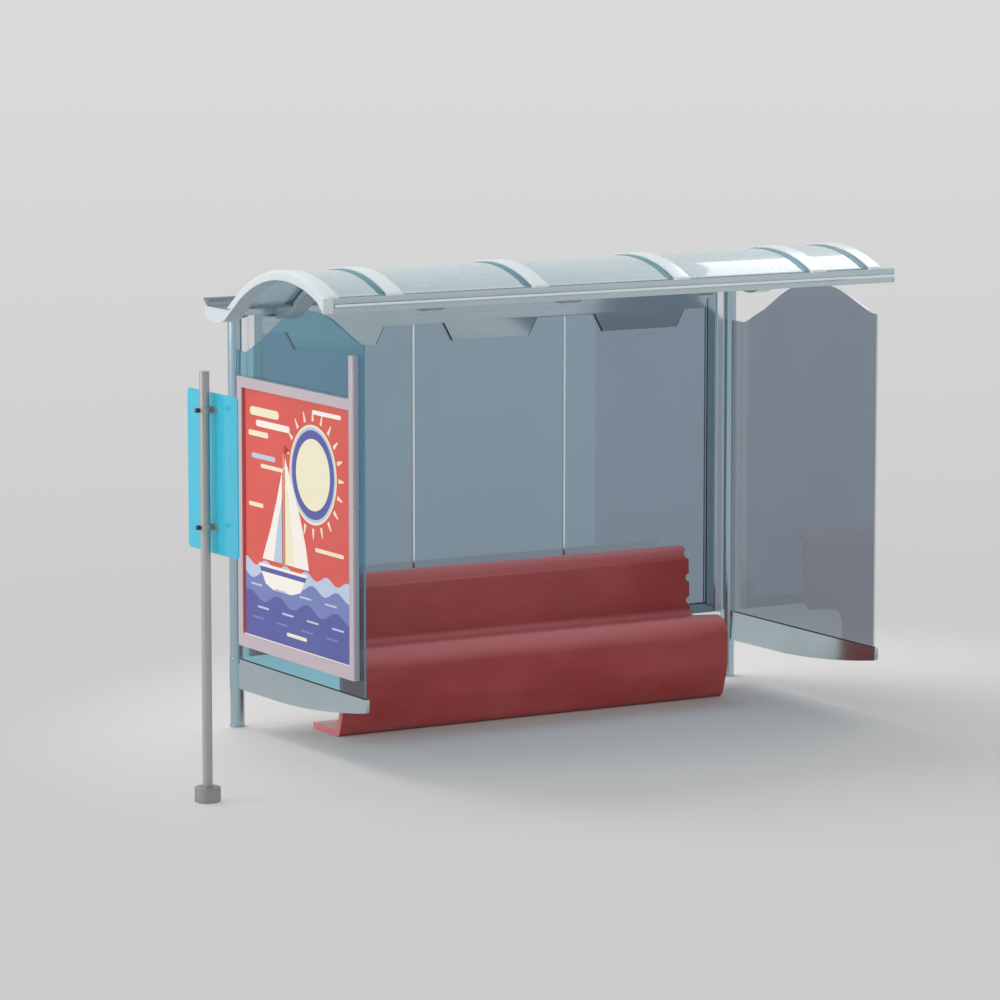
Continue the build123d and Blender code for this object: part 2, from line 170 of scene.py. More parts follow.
floor_material, tree = new_material("studio_floor")
where = add(tree, "ShaderNodeTexCoord")
centred = add(tree, "ShaderNodeVectorMath", operation="SUBTRACT", in_1=RING_CENTRE)
spread = add(tree, "ShaderNodeVectorMath", operation="LENGTH")
ring = add(tree, "ShaderNodeMapRange", interpolation_type="SMOOTHSTEP",
           in_From_Min=RING_START, in_From_Max=RING_END)
decades = add(tree, "ShaderNodeMath", operation="LOGARITHM", in_1=10.0)
grade = add(tree, "ShaderNodeMapRange", in_From_Min=GRADE_START, in_From_Max=GRADE_END)
far = add(tree, "ShaderNodeMix", data_type="RGBA", in_6=tone(*NEAR_TONE), in_7=tone(*FAR_TONE))
share = add(tree, "ShaderNodeMath", operation="MULTIPLY")
matt = add(tree, "ShaderNodeBsdfDiffuse", in_Color=tone(*FLOOR_TONE))
glow = add(tree, "ShaderNodeEmission")
blend = add(tree, "ShaderNodeMixShader")
surface = add(tree, "ShaderNodeOutputMaterial")
join(tree,
     (where.outputs["Object"], centred.inputs[0]),
     (centred.outputs[0], spread.inputs[0]),
     (spread.outputs["Value"], ring.inputs["Value"]),
     (spread.outputs["Value"], decades.inputs[0]),
     (decades.outputs[0], grade.inputs["Value"]),
     (grade.outputs["Result"], far.inputs["Factor"]),
     (far.outputs["Result"], glow.inputs["Color"]),
     (seen_directly(tree), share.inputs[0]),
     (ring.outputs["Result"], share.inputs[1]),
     (share.outputs[0], blend.inputs["Fac"]),
     (matt.outputs[0], blend.inputs[1]),
     (glow.outputs[0], blend.inputs[2]),
     (blend.outputs[0], surface.inputs["Surface"]))

floor_mesh = bpy.data.meshes.new("studio_floor")
floor_mesh.from_pydata([(-FLOOR_REACH, -FLOOR_REACH, 0), (FLOOR_REACH, -FLOOR_REACH, 0),
                        (FLOOR_REACH, FLOOR_REACH, 0), (-FLOOR_REACH, FLOOR_REACH, 0)],
                       [], [(0, 1, 2, 3)])
floor = bpy.data.objects.new("studio_floor", floor_mesh)
floor.data.materials.append(floor_material)
bpy.context.scene.collection.objects.link(floor)
print("floor", 2 * FLOOR_REACH, "metres wide")

# %% [markdown]
# Soft studio light. A wide panel high behind the shelter throws the shadow towards the camera, a
# second one at the left lights the poster, and the world fills the rest. The polished metal and
# the glass mirror one calm, pale surrounding and, at the left, the second panel. A third panel,
# at the right behind the roof, is there to be mirrored: it whitens the front slopes of the last
# two ribs and of the two sheets beside them.

# %% Lights and world
def light_panel(name, place, target, size, watts, mirrored=False):
    """A soft area lamp at one place, turned towards another."""
    data = bpy.data.lights.new(name, "AREA")
    data.shape = "RECTANGLE"
    data.size, data.size_y = size
    data.energy = watts
    data.color = (1.0, 0.99, 0.985)
    lamp = bpy.data.objects.new(name, data)
    lamp.location = place
    lamp.rotation_euler = (Vector(target) - Vector(place)).to_track_quat("-Z", "Y").to_euler()
    lamp.visible_camera = False
    lamp.visible_glossy = mirrored
    lamp.visible_transmission = False
    bpy.context.scene.collection.objects.link(lamp)


light_panel("panel_rear", place=(-0.5, 6.5, 9.5), target=(0.0, 0.0, 1.0), size=(10.0, 6.0),
            watts=760.0)
light_panel("panel_left", place=(-14.0, 3.0, 4.4), target=(0.0, -0.3, 1.4), size=(7.0, 6.0),
            watts=660.0, mirrored=True)
light_panel("panel_roof", place=(9.03, 5.15, 9.35), target=(9.03, 1.85, 5.6),
            size=(4.75, 4.3), watts=128.0, mirrored=True)

FILL_COLOUR = (1.0, 0.985, 0.97, 1.0)
FILL_STRENGTH = 0.71
DISTANCE_TONE = (214, 216, 217)

world = bpy.data.worlds.new("studio_world")
bpy.context.scene.world = world
world.use_nodes = True
tree = world.node_tree
tree.nodes.clear()
fill = add(tree, "ShaderNodeBackground", in_Color=FILL_COLOUR, in_Strength=FILL_STRENGTH)
distance = add(tree, "ShaderNodeBackground", in_Color=tone(*DISTANCE_TONE))
blend = add(tree, "ShaderNodeMixShader")
surface = add(tree, "ShaderNodeOutputWorld")
join(tree,
     (seen_directly(tree), blend.inputs["Fac"]),
     (fill.outputs[0], blend.inputs[1]),
     (distance.outputs[0], blend.inputs[2]),
     (blend.outputs[0], surface.inputs["Surface"]))

# %% [markdown]
# ## Shader groups
#
# Real surfaces share a few effects whatever they are made of. Paint and plastic are never quite
# even, their skin has a fine grain, and street dust gathers near the ground. Each effect is one
# group, built once, with named inputs, and every material then sets its own strength. A group
# puts out values and normals only; the shader stays in the material. The first group gives the
# slow change of tone, as a mask from a large, soft noise.

# %% Group: uneven tone
def new_group(name, inputs, outputs):
    """A shader group with the given float inputs and outputs of stated kinds."""
    group = bpy.data.node_groups.new(name, "ShaderNodeTree")
    for label, value in inputs.items():
        socket = group.interface.new_socket(label, in_out="INPUT", socket_type="NodeSocketFloat")
        socket.default_value = value
    for label, kind in outputs.items():
        group.interface.new_socket(label, in_out="OUTPUT", socket_type="NodeSocket" + kind)
    return group, group.nodes.new("NodeGroupInput"), group.nodes.new("NodeGroupOutput")


clouding, gin, gout = new_group("clouding", {"Scale": 3.0, "Detail": 3.0, "Stretch": 1.0},
                                {"Mask": "Float"})
where = add(clouding, "ShaderNodeTexCoord")
squeeze = add(clouding, "ShaderNodeCombineXYZ", in_0=1.0, in_1=1.0)
scaled = add(clouding, "ShaderNodeVectorMath", operation="MULTIPLY")
noise = add(clouding, "ShaderNodeTexNoise", in_Roughness=0.55)
spread = add(clouding, "ShaderNodeMapRange", interpolation_type="SMOOTHSTEP",
             in_From_Min=0.2, in_From_Max=0.8)
join(clouding,
     (where.outputs["Object"], scaled.inputs[0]),
     (gin.outputs["Stretch"], squeeze.inputs[2]),
     (squeeze.outputs[0], scaled.inputs[1]),
     (scaled.outputs[0], noise.inputs["Vector"]),
     (gin.outputs["Scale"], noise.inputs["Scale"]),
     (gin.outputs["Detail"], noise.inputs["Detail"]),
     (noise.outputs["Fac"], spread.inputs["Value"]),
     (spread.outputs["Result"], gout.inputs["Mask"]))
print("group", clouding.name)

# %% [markdown]
# Powder coating, moulded plastic and cast iron differ most in their grain. A fine noise tips the
# surface's normal a little, which breaks a highlight up without changing the shape.

# %% Group: fine grain
fine_grain, gin, gout = new_group("fine_grain", {"Scale": 600.0, "Strength": 0.02},
                                  {"Normal": "Vector"})
where = add(fine_grain, "ShaderNodeTexCoord")
grain = add(fine_grain, "ShaderNodeTexNoise", in_Detail=2.0)
bump = add(fine_grain, "ShaderNodeBump", in_Distance=0.0006)
join(fine_grain,
     (where.outputs["Object"], grain.inputs["Vector"]),
     (gin.outputs["Scale"], grain.inputs["Scale"]),
     (grain.outputs["Fac"], bump.inputs["Height"]),
     (gin.outputs["Strength"], bump.inputs["Strength"]),
     (bump.outputs["Normal"], gout.inputs["Normal"]))
print("group", fine_grain.name)

# %% [markdown]
# Dust and splashes from the pavement fade out within knee height. The group reads the height
# from Object coordinates, which works for every piece, because all objects sit at the origin and
# keep their place in the mesh. A noise breaks the fade up, so that it doesn't end in a line.

# %% Group: street dust
street_dust, gin, gout = new_group("street_dust", {"Height": 0.5}, {"Mask": "Float"})
where = add(street_dust, "ShaderNodeTexCoord")
split = add(street_dust, "ShaderNodeSeparateXYZ")
fade = add(street_dust, "ShaderNodeMapRange", in_To_Min=1.0, in_To_Max=0.0)
noise = add(street_dust, "ShaderNodeTexNoise", in_Scale=7.0, in_Detail=5.0)
patch = add(street_dust, "ShaderNodeMapRange", in_From_Min=0.35, in_From_Max=0.75)
both = add(street_dust, "ShaderNodeMath", operation="MULTIPLY")
join(street_dust,
     (where.outputs["Object"], split.inputs[0]),
     (split.outputs["Z"], fade.inputs["Value"]),
     (gin.outputs["Height"], fade.inputs["From Max"]),
     (where.outputs["Object"], noise.inputs["Vector"]),
     (noise.outputs["Fac"], patch.inputs["Value"]),
     (fade.outputs["Result"], both.inputs[0]),
     (patch.outputs["Result"], both.inputs[1]),
     (both.outputs[0], gout.inputs["Mask"]))
print("group", street_dust.name)

# %% [markdown]
# Painted light: the bench's base colour is made paler on the faces that look up and to the left,
# towards the lamps, as a lit side would be. The group compares the surface's direction with the
# light's and gives one where they agree.

# %% Group: painted light by direction
# The way towards the lamps, left and above, that the painted light follows.
PAINTED_LIGHT_WAY = (-0.68, 0.0, 0.73)

painted_light_side, gin, gout = new_group("painted_light_side", {"Start": 0.1, "Full": 0.95}, {"Mask": "Float"})
facing = add(painted_light_side, "ShaderNodeNewGeometry")
agree = add(painted_light_side, "ShaderNodeVectorMath", operation="DOT_PRODUCT", in_1=PAINTED_LIGHT_WAY)
ramp = add(painted_light_side, "ShaderNodeMapRange", interpolation_type="SMOOTHSTEP")
join(painted_light_side,
     (facing.outputs["Normal"], agree.inputs[0]),
     (agree.outputs["Value"], ramp.inputs["Value"]),
     (gin.outputs["Start"], ramp.inputs["From Min"]),
     (gin.outputs["Full"], ramp.inputs["From Max"]),
     (ramp.outputs["Result"], gout.inputs["Mask"]))
print("group", painted_light_side.name)

# %% [markdown]
# ## Materials
#
# One function makes every solid finish. It starts from a colour, lets the clouding change tone
# and roughness a little, and lays dust over the foot. Metal, paint and moulded plastic differ
# only in their numbers, so they share the same wiring, and a change to the wiring reaches all of
# them. Whatever is the same all over, such as metalness, is set on the shader's own socket. The
# posts, rails and frame are polished and pale, so that most of what one sees on them is what
# stands beside them: the header's right-hand tab is dark because it mirrors the grey screen.

# %% Solid finishes
DUST = tone(150, 146, 140)


def group_node(tree, group, **values):
    """Place a group in a material with its own values."""
    node = add(tree, "ShaderNodeGroup", node_tree=group)
    for label, value in values.items():
        node.inputs[label.replace("_", " ")].default_value = value
    return node


def colour_mix(tree, first, second, factor, ceiling=1.0):
    """Mix from the first colour to the second by a mask scaled down to a ceiling."""
    amount = add(tree, "ShaderNodeMath", operation="MULTIPLY", in_1=ceiling)
    mix = add(tree, "ShaderNodeMix", data_type="RGBA")
    tree.links.new(factor, amount.inputs[0])
    tree.links.new(amount.outputs[0], mix.inputs["Factor"])
    for source, socket in ((first, mix.inputs["A"]), (second, mix.inputs["B"])):
        if isinstance(source, tuple):
            socket.default_value = source
        else:
            tree.links.new(source, socket)
    return mix.outputs["Result"]


def solid_finish(name, colour, second, rough, metal=0.0, coat=0.0, cloud=2.0, stretch=1.0,
                 grain=0.02, grain_scale=600.0, dust_height=0.5, dust_amount=0.25, tone_shift_and_painted_light=None):
    """A painted, metal or moulded finish; rough is the smooth and the dull end of its sheen."""
    material, tree = new_material(name)
    shader = add(tree, "ShaderNodeBsdfPrincipled", in_Metallic=metal, in_Coat_Weight=coat)
    surface = add(tree, "ShaderNodeOutputMaterial")
    cloudy = group_node(tree, clouding, Scale=cloud, Stretch=stretch)
    skin = group_node(tree, fine_grain, Strength=grain, Scale=grain_scale)
    dusty = group_node(tree, street_dust, Height=dust_height)
    shade = colour_mix(tree, colour, second, cloudy.outputs["Mask"])
    # Painted light: faces that look towards the lamps are mixed towards the given paler tone.
    if tone_shift_and_painted_light:
        lit_side = group_node(tree, painted_light_side, Start=-0.05, Full=0.75)
        shade = colour_mix(tree, shade, tone_shift_and_painted_light, lit_side.outputs["Mask"])
    shade = colour_mix(tree, shade, DUST, dusty.outputs["Mask"], dust_amount)
    sheen = add(tree, "ShaderNodeMapRange", in_To_Min=rough[0], in_To_Max=rough[1])
    join(tree,
         (shade, shader.inputs["Base Color"]),
         (cloudy.outputs["Mask"], sheen.inputs["Value"]),
         (sheen.outputs["Result"], shader.inputs["Roughness"]),
         (skin.outputs["Normal"], shader.inputs["Normal"]),
         (shader.outputs[0], surface.inputs["Surface"]))
    return material


finish = {
    "post_paint": solid_finish("post_paint", tone(180, 202, 212), tone(172, 196, 206),
                               (0.12, 0.20), metal=0.9, cloud=1.5, stretch=0.3),
    "roof_paint": solid_finish("roof_paint", tone(204, 218, 222), tone(194, 210, 216),
                               (0.16, 0.26), metal=0.75, cloud=1.2),
    "gutter_metal": solid_finish("gutter_metal", tone(150, 168, 178), tone(136, 154, 166),
                                 (0.20, 0.32), metal=0.9),
    "frame_paint": solid_finish("frame_paint", tone(166, 190, 200), tone(156, 182, 194),
                                (0.07, 0.13), metal=0.9, cloud=1.4, dust_amount=0.1),
    "header_grey": solid_finish("header_grey", tone(186, 204, 212), tone(180, 198, 207),
                                (0.12, 0.20), metal=0.9, cloud=1.4),
    "rail_paint": solid_finish("rail_paint", tone(188, 203, 207), tone(178, 196, 202),
                               (0.12, 0.20), metal=0.9, cloud=1.6, dust_amount=0.15),
    "white_strip": solid_finish("white_strip", tone(240, 249, 254), tone(234, 245, 252),
                                (0.15, 0.22), metal=0.92, dust_amount=0.0),
    "case_back": solid_finish("case_back", tone(118, 124, 132), tone(108, 114, 122),
                              (0.4, 0.55), metal=0.3),
    "case_frame": solid_finish("case_frame", tone(218, 203, 209), tone(208, 197, 205),
                               (0.20, 0.30), metal=0.6, cloud=1.4),
    # The bench's paler tone on its upward and left-facing faces is painted light.
    "bench_red": solid_finish("bench_red", tone(166, 50, 52), tone(186, 75, 77),
                              (0.26, 0.42), coat=0.15, cloud=1.6, stretch=2.2, grain=0.05,
                              grain_scale=350.0, dust_height=0.35, dust_amount=0.15,
                              tone_shift_and_painted_light=tone(222, 126, 128)),
    "sign_foot": solid_finish("sign_foot", tone(160, 160, 158), tone(142, 142, 140),
                              (0.35, 0.55), metal=0.6, cloud=9.0, grain=0.25, grain_scale=220.0,
                              dust_height=0.1),
    "sign_metal": solid_finish("sign_metal", tone(182, 182, 181), tone(168, 168, 167),
                               (0.26, 0.40), metal=0.5, cloud=5.0, stretch=0.25),
    "clamp_dark": solid_finish("clamp_dark", tone(58, 74, 88), tone(46, 60, 74),
                               (0.32, 0.46), metal=0.4),
}
rib_white = solid_finish("rib_white", tone(226, 235, 238), tone(218, 229, 233), (0.22, 0.32),
                         metal=0.4, cloud=1.2)
plain_white = solid_finish("plain_white", tone(250, 252, 254), tone(245, 248, 251), (0.16, 0.24),
                           metal=0.92, dust_amount=0.0)
# Painted shade: the blue-green of the ribs' shaded sides, laid on the strips beside them.
painted_rib_shade = solid_finish("painted_rib_shade", tone(84, 136, 150), tone(74, 126, 142), (0.3, 0.4),
                          metal=0.2)
pale_edge = solid_finish("pale_edge", tone(222, 228, 232), tone(212, 220, 226), (0.2, 0.3),
                         metal=0.3, dust_amount=0.0)
blue_edge = solid_finish("blue_edge", tone(92, 156, 184), tone(84, 148, 176), (0.2, 0.3),
                         metal=0.3, dust_amount=0.0)
# Dark rubber for the gaskets; the same dark colour is painted shade on the header's tabs.
rubber_and_painted_shade = solid_finish("rubber_and_painted_shade", tone(24, 32, 40), tone(30, 38, 46), (0.45, 0.6))
print("solid finishes", [*finish, "rib_white", "plain_white", "painted_rib_shade", "pale_edge",
                         "blue_edge", "rubber_and_painted_shade"])

# %% [markdown]
# Tinted glass and clear plastic sheet share one recipe: a smooth shader that lets light through,
# whose colour is what is left of white light behind it. Cycles would give a pane a black shadow,
# because a lamp's ray doesn't bend through it. A plain tinted Transparent shader takes over for
# shadow rays only, so a pane's shadow is as light as the real one. A trace of smudges in the
# roughness keeps reflections from looking like a computer's. The roof sheet is milky: a good
# part of its light is scattered, and a smooth clear coat keeps the gloss of its outside.

# %% Glass and clear sheet
def pane_finish(name, tint, ior=1.5, rough=(0.0, 0.03), clear=1.0, gleam=(1.0, 1.0, 1.0),
                coat=0.0):
    """Tinted sheet: tint is the light that's left behind it, clear the share that passes
    straight through, gleam the tint of its reflections."""
    material, tree = new_material(name)
    shader = add(tree, "ShaderNodeBsdfPrincipled", in_Transmission_Weight=clear, in_IOR=ior,
                 in_Specular_Tint=(*gleam, 1.0), in_Coat_Weight=coat, in_Coat_Roughness=0.04)
    cloudy = group_node(tree, clouding, Scale=1.3)
    dusty = group_node(tree, street_dust, Height=0.9)
    film = colour_mix(tree, (*tint, 1.0), (*[v * 0.95 for v in tint], 1.0),
                      cloudy.outputs["Mask"])
    film = colour_mix(tree, film, DUST, dusty.outputs["Mask"], 0.06)
    smudge = add(tree, "ShaderNodeMapRange", in_To_Min=rough[0], in_To_Max=rough[1])
    rays = add(tree, "ShaderNodeLightPath")
    shadow = add(tree, "ShaderNodeBsdfTransparent",
                 in_Color=(*[clear * v ** 0.5 for v in tint], 1.0))
    either = add(tree, "ShaderNodeMixShader")
    surface = add(tree, "ShaderNodeOutputMaterial")
    join(tree,
         (film, shader.inputs["Base Color"]),
         (cloudy.outputs["Mask"], smudge.inputs["Value"]),
         (smudge.outputs["Result"], shader.inputs["Roughness"]),
         (rays.outputs["Is Shadow Ray"], either.inputs["Fac"]),
         (shader.outputs[0], either.inputs[1]),
         (shadow.outputs[0], either.inputs[2]),
         (either.outputs[0], surface.inputs["Surface"]))
    return material


finish["roof_clear"] = pane_finish("roof_clear", (0.74, 0.89, 0.94), rough=(0.24, 0.30),
                                   clear=0.62, coat=1.0)
finish["rear_glass"] = pane_finish("rear_glass", (0.315, 0.41, 0.50), ior=1.8,
                                   gleam=(0.45, 0.85, 1.0))
finish["blue_glass"] = pane_finish("blue_glass", (0.26, 0.60, 0.73))
finish["grey_glass"] = pane_finish("grey_glass", (0.315, 0.365, 0.43))
finish["sign_cyan"] = pane_finish("sign_cyan", (0.08, 0.74, 0.95), rough=(0.05, 0.12), clear=0.6)
print("clear finishes", [n for n in finish if finish[n].node_tree.nodes.get("Transparent BSDF")])

# %% [markdown]
# The poster is printed paper behind the case's frame. Ink on paper is matt with a faint satin
# film, and a big sheet shows very soft waves. The print's colours come from a colour attribute
# on the shapes, so one material serves every ink.

# %% Printed paper
def paper_finish(name, colour=None):
    """Printed poster paper in one colour, or in the colours of the 'ink' attribute."""
    material, tree = new_material(name)
    shader = add(tree, "ShaderNodeBsdfPrincipled", in_Coat_Weight=0.15)
    cloudy = group_node(tree, clouding, Scale=2.4)
    surface = add(tree, "ShaderNodeOutputMaterial")
    if colour:
        shade = colour_mix(tree, colour, (*[v * 0.94 for v in colour[:3]], 1.0),
                           cloudy.outputs["Mask"])
    else:
        ink = add(tree, "ShaderNodeAttribute", attribute_name="ink")
        tone_shift_and_painted_light = add(tree, "ShaderNodeHueSaturation", in_Value=0.95)
        tree.links.new(ink.outputs["Color"], tone_shift_and_painted_light.inputs["Color"])
        shade = colour_mix(tree, ink.outputs["Color"], tone_shift_and_painted_light.outputs["Color"],
                           cloudy.outputs["Mask"])
    sheen = add(tree, "ShaderNodeMapRange", in_To_Min=0.38, in_To_Max=0.55)
    join(tree,
         (shade, shader.inputs["Base Color"]),
         (cloudy.outputs["Mask"], sheen.inputs["Value"]),
         (sheen.outputs["Result"], shader.inputs["Roughness"]),
         (shader.outputs[0], surface.inputs["Surface"]))
    return material


finish["poster_print"] = paper_finish("poster_print", tone(216, 80, 70))
ink_finish = paper_finish("poster_inks")
print("print finishes", finish["poster_print"].name, ink_finish.name)

# %% [markdown]
# ## Edges that catch the light
#
# A CAD edge is perfectly sharp, and nothing made in a workshop is. Extrusions leave the die with
# a radius of about a millimetre, paint rounds it further, and the moulded bench has six. Each
# solid piece is therefore copied, its loose triangles merged into whole faces, and its sharp
# edges rounded by a Bevel with a width that suits the piece. Roof ribs and sheets are merged only,
# so that their long arcs are shaded evenly, and have a width of zero. The copy takes the CAD
# piece's place. Flat glass and the poster's sheet keep their CAD shape.

# %% Rounded copies of the solid pieces
EDGE_WIDTHS = {
    "bench": 0.006, "roof_rib": 0, "roof_sheet": 0, "rear_beam": 0.003, "front_fascia": 0.0012,
    "fascia_cap": 0.0012, "rear_gutter": 0.001, "upright": 0.003, "frame": 0.0015,
    "header": 0.001, "side_rail": 0.002, "post_sleeve": 0.002, "post": 0.002,
    "case_back": 0.0008, "case": 0.0018, "joint_strip": 0.0006, "sign_foot": 0.004,
    "sign_pole": 0.002, "sign_clamp": 0.0015,
}
KEPT_SHAPES = ("rear_glass", "blue_glass", "grey_glass", "sign_cyan", "poster_print")
SPECIAL = {"roof_rib": rib_white, "upright": plain_white, "sign_clamp": finish["sign_metal"],
           "frame_top": finish["header_grey"]}


def plain_mesh(piece):
    """Turn an object's modifiers into a plain mesh and take them off."""
    ready = piece.evaluated_get(bpy.context.evaluated_depsgraph_get())
    mesh = bpy.data.meshes.new_from_object(ready)
    piece.modifiers.clear()
    piece.data = mesh
    mesh.name = piece.name


def smooth_by_angle(mesh, degrees=50):
    """Shade smooth, but keep edges sharper than an angle."""
    mesh.polygons.foreach_set("use_smooth", [True] * len(mesh.polygons))
    mesh.set_sharp_from_angle(angle=math.radians(degrees))


def mount(piece):
    """Fix a piece to the shelter."""
    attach(piece, "root")


def rounded_copy(node, name, width):
    """A merged copy of a CAD piece, with rounded edges where there is a width."""
    shape = bmesh.new()
    shape.from_mesh(node.data)
    shape.transform(node.matrix_world)
    bmesh.ops.remove_doubles(shape, verts=shape.verts, dist=0.00002)
    bmesh.ops.dissolve_limit(shape, angle_limit=math.radians(1), verts=shape.verts,
                             edges=shape.edges)
    mesh = bpy.data.meshes.new(name)
    shape.to_mesh(mesh)
    shape.free()
    smooth_by_angle(mesh)
    piece = bpy.data.objects.new(name, mesh)
    bpy.context.scene.collection.objects.link(piece)
    if width:
        edge = piece.modifiers.new("edge", "BEVEL")
        edge.width = width
        edge.segments = 2
        edge.limit_method = "ANGLE"
        edge.angle_limit = math.radians(50)
        edge.harden_normals = True
        plain_mesh(piece)
    return piece


copies = 0
for row in frame["record"]["subparts"]:
    node = frame["nodes"][row["node"]]
    slot = row["material_slot"]
    if slot in KEPT_SHAPES:
        if not node.material_slots:
            node.data.materials.append(finish[slot])
        for place in node.material_slots:
            place.material = finish[slot]
        continue
    width = next(w for start, w in EDGE_WIDTHS.items() if row["node"].startswith(start))
    piece = rounded_copy(node, row["node"] + "_finished", width)
    piece.data.materials.clear()
    special = [m for start, m in SPECIAL.items() if row["node"].startswith(start)]
    piece.data.materials.append(special[0] if special else finish[slot])
    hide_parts(row["node"])
    mount(piece)
    copies += 1
print("rounded copies", copies)

# %% [markdown]
# ## Fasteners
#
# A shelter like this is bolted together on the pavement: hexagon bolts hold the ribs to the rear
# beam and the post heads under it, small screws close the glazing bars, anchors hold the bench
# down, and broad round heads hold the poster case. All are a head on a washer, set out on points.
# One Geometry Nodes tree does that for every kind: it puts the head and the washer on each point,
# turns them to face outwards, gives each its own spin, as a spanner leaves it, and makes them
# real. Only the sizes differ.

# %% Node tree: fasteners on points
def new_geometry_tree(name, inputs):
    """A geometry tree with a geometry input and output and the given named inputs."""
    tree = bpy.data.node_groups.new(name, "GeometryNodeTree")
    tree.interface.new_socket("Geometry", in_out="INPUT", socket_type="NodeSocketGeometry")
    for label, (kind, value) in inputs.items():
        socket = tree.interface.new_socket(label, in_out="INPUT", socket_type="NodeSocket" + kind)
        if value is not None:
            socket.default_value = value
    tree.interface.new_socket("Geometry", in_out="OUTPUT", socket_type="NodeSocketGeometry")
    return tree, tree.nodes.new("NodeGroupInput"), tree.nodes.new("NodeGroupOutput")


fastener_tree, gin, gout = new_geometry_tree("fasteners_on_points", {
    "Head Radius": ("Float", 0.008), "Head Height": ("Float", 0.006), "Sides": ("Int", 6),
    "Washer Radius": ("Float", 0.011), "Seed": ("Int", 3), "Material": ("Material", None)})
head = add(fastener_tree, "GeometryNodeMeshCylinder")
lift = add(fastener_tree, "ShaderNodeMath", operation="MULTIPLY", in_1=0.5)
lift_by = add(fastener_tree, "ShaderNodeCombineXYZ")
raised = add(fastener_tree, "GeometryNodeTransform")
washer = add(fastener_tree, "GeometryNodeMeshCylinder", in_Vertices=20, in_Depth=0.002)
both = add(fastener_tree, "GeometryNodeJoinGeometry")
dots = add(fastener_tree, "GeometryNodeMeshToPoints")
facing = add(fastener_tree, "GeometryNodeInputNamedAttribute", data_type="FLOAT_VECTOR",
             in_Name="facing")
turned = add(fastener_tree, "FunctionNodeAlignRotationToVector", axis="Z")
chance = add(fastener_tree, "FunctionNodeRandomValue", data_type="FLOAT", in_2=0.0, in_3=6.2832)
spin = add(fastener_tree, "FunctionNodeAxisAngleToRotation", in_Axis=(0.0, 0.0, 1.0))
spun = add(fastener_tree, "FunctionNodeRotateRotation", rotation_space="LOCAL")
placed = add(fastener_tree, "GeometryNodeInstanceOnPoints")
real = add(fastener_tree, "GeometryNodeRealizeInstances")
coloured = add(fastener_tree, "GeometryNodeSetMaterial")
join(fastener_tree,
     (gin.outputs["Sides"], head.inputs["Vertices"]),
     (gin.outputs["Head Radius"], head.inputs["Radius"]),
     (gin.outputs["Head Height"], head.inputs["Depth"]),
     (gin.outputs["Head Height"], lift.inputs[0]),
     (lift.outputs[0], lift_by.inputs[2]),
     (head.outputs["Mesh"], raised.inputs["Geometry"]),
     (lift_by.outputs[0], raised.inputs["Translation"]),
     (gin.outputs["Washer Radius"], washer.inputs["Radius"]),
     (raised.outputs[0], both.inputs[0]),
     (washer.outputs["Mesh"], both.inputs[0]),
     (gin.outputs["Geometry"], dots.inputs["Mesh"]),
     (facing.outputs["Attribute"], turned.inputs["Vector"]),
     (gin.outputs["Seed"], chance.inputs["Seed"]),
     (chance.outputs[1], spin.inputs["Angle"]),
     (turned.outputs[0], spun.inputs[0]),
     (spin.outputs[0], spun.inputs[1]),
     (dots.outputs[0], placed.inputs["Points"]),
     (both.outputs[0], placed.inputs["Instance"]),
     (spun.outputs[0], placed.inputs["Rotation"]),
     (placed.outputs[0], real.inputs[0]),
     (real.outputs[0], coloured.inputs["Geometry"]),
     (gin.outputs["Material"], coloured.inputs["Material"]),
     (coloured.outputs[0], gout.inputs["Geometry"]))
print("tree", fastener_tree.name, len(fastener_tree.nodes), "nodes")

# %% Fasteners
def grow(name, mesh, tree, values):
    """Run a geometry tree on a guide mesh and keep the result as a plain mesh."""
    piece = bpy.data.objects.new(name, mesh)
    bpy.context.scene.collection.objects.link(piece)
    step = piece.modifiers.new("grow", "NODES")
    step.node_group = tree
    sockets = {s.name: s.identifier for s in tree.interface.items_tree if s.in_out == "INPUT"}
    for label, value in values.items():
        step[sockets[label]] = value
    plain_mesh(piece)
    smooth_by_angle(piece.data, 35)
    mount(piece)
    print(name, len(piece.data.polygons), "faces")


def fasteners(name, places, material, radius, height, sides=6, washer=None):
    """Put the same fastener on each place; a place is a point and the way it faces."""
    mesh = bpy.data.meshes.new(name + "_points")
    mesh.from_pydata([at(*point) for point, _ in places], [], [])
    facing = mesh.attributes.new("facing", "FLOAT_VECTOR", "POINT")
    facing.data.foreach_set("vector", [v for _, way in places for v in way])
    grow(name, mesh, fastener_tree, {
        "Head Radius": radius / 1000, "Head Height": height / 1000, "Sides": sides,
        "Washer Radius": (washer or radius * 1.35) / 1000, "Seed": 7, "Material": material})


RIB_XS = (-1927, -1494, -502, 502, 1494, 1927)
POST_X = 1800
CLAMP_HEIGHTS = (1582, 2249)
FRAME_BAR_HEIGHTS = (466, 2525)
FRAME_BAR_X = 1652
REAR, FRONT, UP, DOWN = (0, 1, 0), (0, -1, 0), (0, 0, 1), (0, 0, -1)
INWARD = (1, 0, 0)

